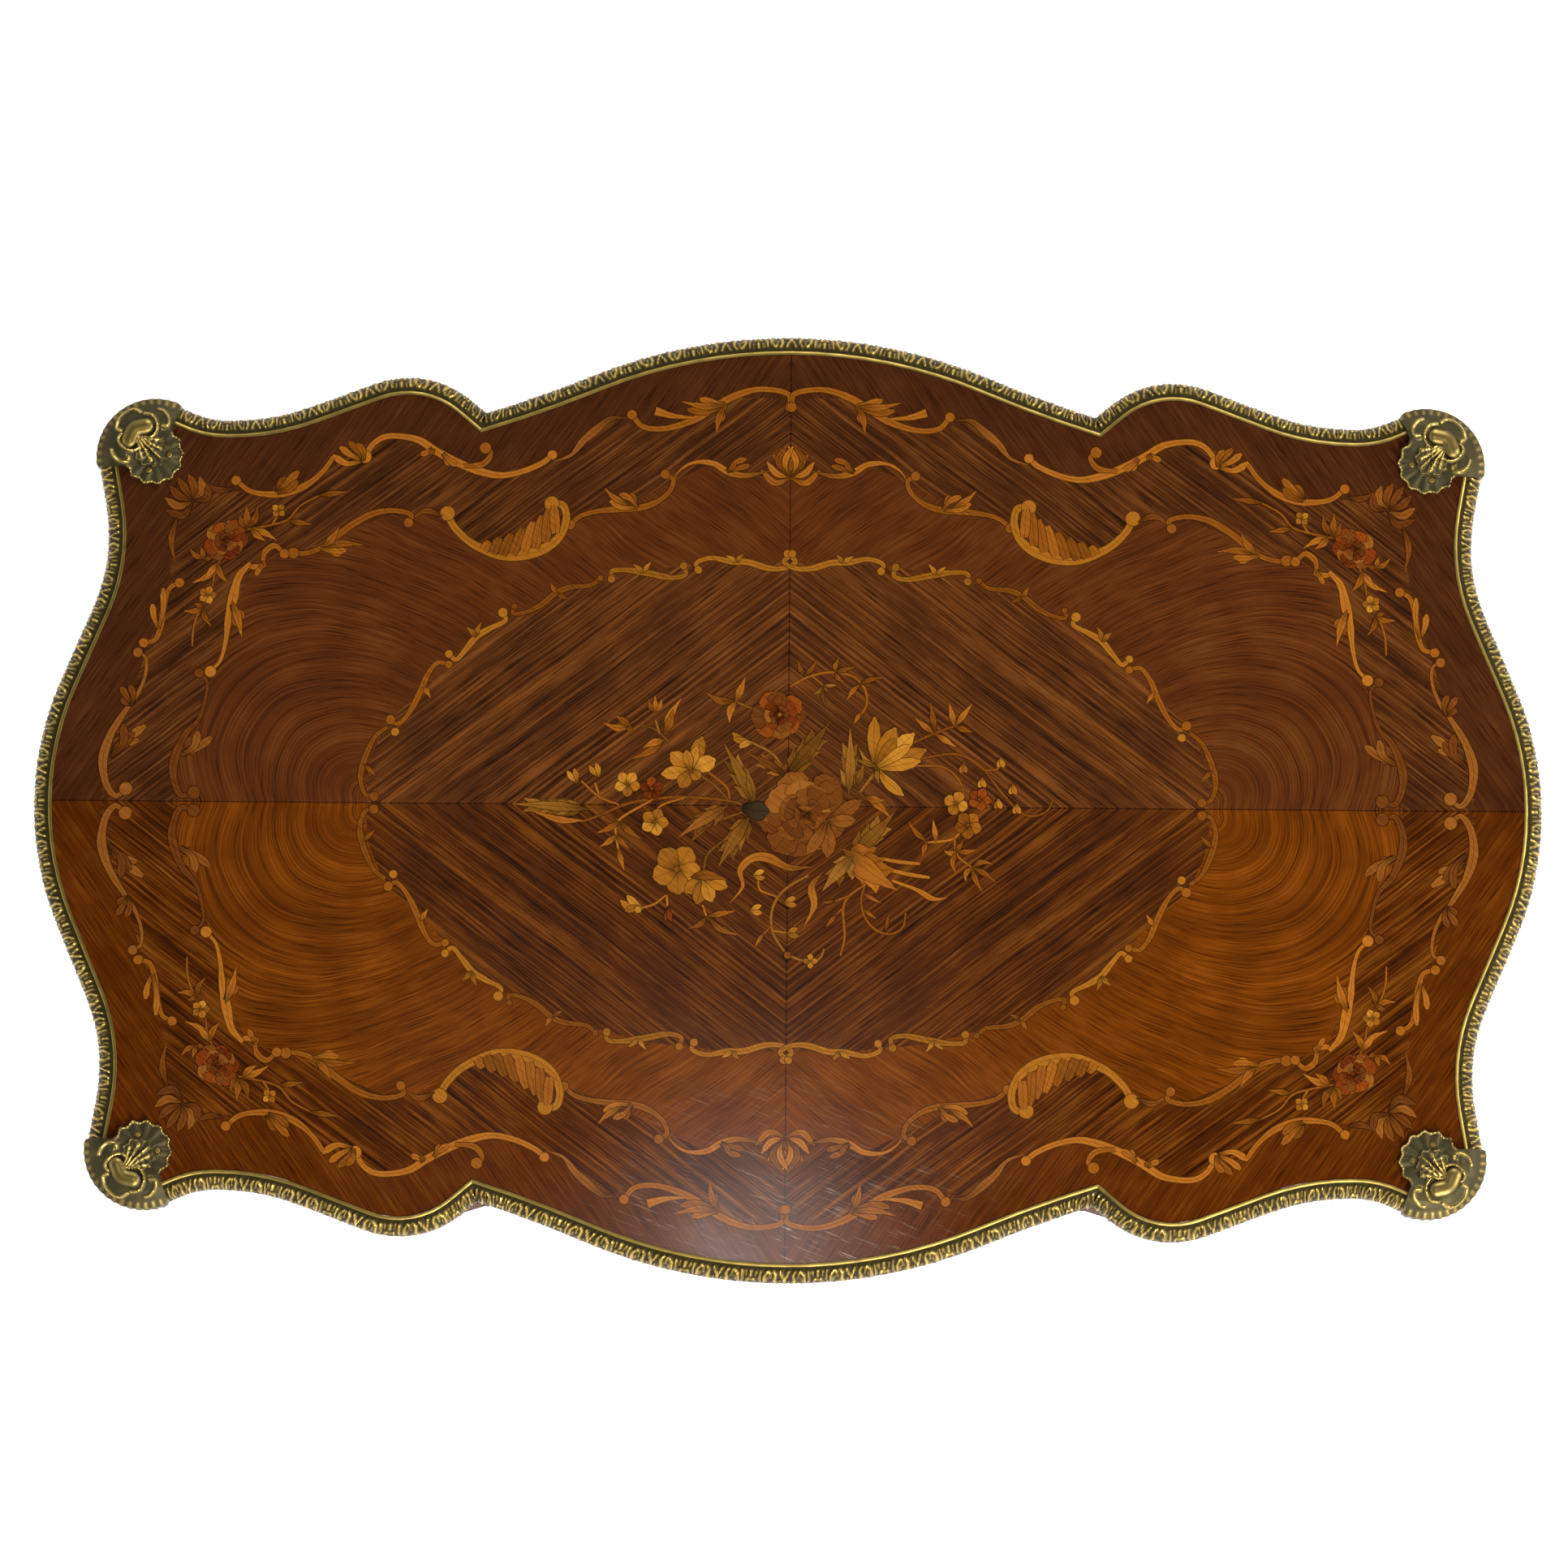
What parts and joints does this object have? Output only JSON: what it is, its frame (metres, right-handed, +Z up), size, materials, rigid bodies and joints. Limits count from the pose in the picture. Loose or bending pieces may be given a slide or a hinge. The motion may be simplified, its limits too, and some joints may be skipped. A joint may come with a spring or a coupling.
{
  "type": "writing desk",
  "caption": "Flat-topped writing desk: serpentine marquetry top in a gilt metal edge, cabriole legs with metal mounts, and locking frieze drawers around a knee space.",
  "frame": {"origin": "on the floor under the middle of the top", "axes": "+X to the right along the long side, +Y from the front to the back, +Z up"},
  "size_m": [1.3016, 0.8196, 0.7796],
  "materials": {
    "veneer_border": "french polished",
    "veneer_band": "french polished",
    "veneer_field": "french polished",
    "veneer_centre": "french polished",
    "gilt_bronze": "cast, chased and gilt",
    "steel": "filed",
    "drawer_oak": "planed",
    "carcass_oak": "planed and stained",
    "frieze_veneer": "french polished",
    "leg_veneer": "french polished"
  },
  "bodies": {
    "desk": {"apron_left": "frieze_veneer", "apron_right": "frieze_veneer", "back_apron": "frieze_veneer", "back_escutcheons": "gilt_bronze", "back_upper_rail": "carcass_oak", "clasp_screws": "steel", "corner_clasp_back_left": "gilt_bronze", "corner_clasp_back_right": "gilt_bronze", "corner_clasp_front_left": "gilt_bronze", "corner_clasp_front_right": "gilt_bronze", "divider_left": "carcass_oak", "divider_right": "carcass_oak", "drawer_runners": "drawer_oak", "edge_moulding_back": "gilt_bronze", "edge_moulding_front": "gilt_bronze", "edge_moulding_left": "gilt_bronze", "edge_moulding_right": "gilt_bronze", "false_drawer_fronts": "frieze_veneer", "front_lower_rail": "carcass_oak", "front_upper_rail": "carcass_oak", "knee_mount_back_left": "gilt_bronze", "knee_mount_back_right": "gilt_bronze", "knee_mount_front_left": "gilt_bronze", "knee_mount_front_right": "gilt_bronze", "leg_back_left": "leg_veneer", "leg_back_right": "leg_veneer", "leg_front_left": "leg_veneer", "leg_front_right": "leg_veneer", "sabot_back_left": "gilt_bronze", "sabot_back_right": "gilt_bronze", "sabot_front_left": "gilt_bronze", "sabot_front_right": "gilt_bronze", "top_core": "carcass_oak", "top_screws": "steel", "veneer_band": "veneer_band", "veneer_border": "veneer_border", "veneer_centre": "veneer_centre", "veneer_field": "veneer_field"},
    "drawer_left": {"drawer_left_bottom": "drawer_oak", "drawer_left_escutcheon": "gilt_bronze", "drawer_left_front": "frieze_veneer", "drawer_left_lock": "steel", "drawer_left_sides": "drawer_oak"},
    "bolt_left": {"drawer_left_bolt": "steel"},
    "drawer_centre": {"drawer_centre_bottom": "drawer_oak", "drawer_centre_escutcheon": "gilt_bronze", "drawer_centre_front": "frieze_veneer", "drawer_centre_lock": "steel", "drawer_centre_sides": "drawer_oak"},
    "bolt_centre": {"drawer_centre_bolt": "steel"},
    "drawer_right": {"drawer_right_bottom": "drawer_oak", "drawer_right_escutcheon": "gilt_bronze", "drawer_right_front": "frieze_veneer", "drawer_right_lock": "steel", "drawer_right_sides": "drawer_oak"},
    "bolt_right": {"drawer_right_bolt": "steel"}
  },
  "joints": [
    {"name": "drawer_left_slide", "type": "slide", "parent": "desk", "child": "drawer_left", "axis": [0, -1, 0], "range_m": [0, 0.35]},
    {"name": "bolt_left_throw", "type": "slide", "parent": "drawer_left", "child": "bolt_left", "axis": [0, 0, 1], "range_m": [0, 0.008]},
    {"name": "drawer_centre_slide", "type": "slide", "parent": "desk", "child": "drawer_centre", "axis": [0, -1, 0], "range_m": [0, 0.35]},
    {"name": "bolt_centre_throw", "type": "slide", "parent": "drawer_centre", "child": "bolt_centre", "axis": [0, 0, 1], "range_m": [0, 0.008]},
    {"name": "drawer_right_slide", "type": "slide", "parent": "desk", "child": "drawer_right", "axis": [0, -1, 0], "range_m": [0, 0.35]},
    {"name": "bolt_right_throw", "type": "slide", "parent": "drawer_right", "child": "bolt_right", "axis": [0, 0, 1], "range_m": [0, 0.008]}
  ]
}
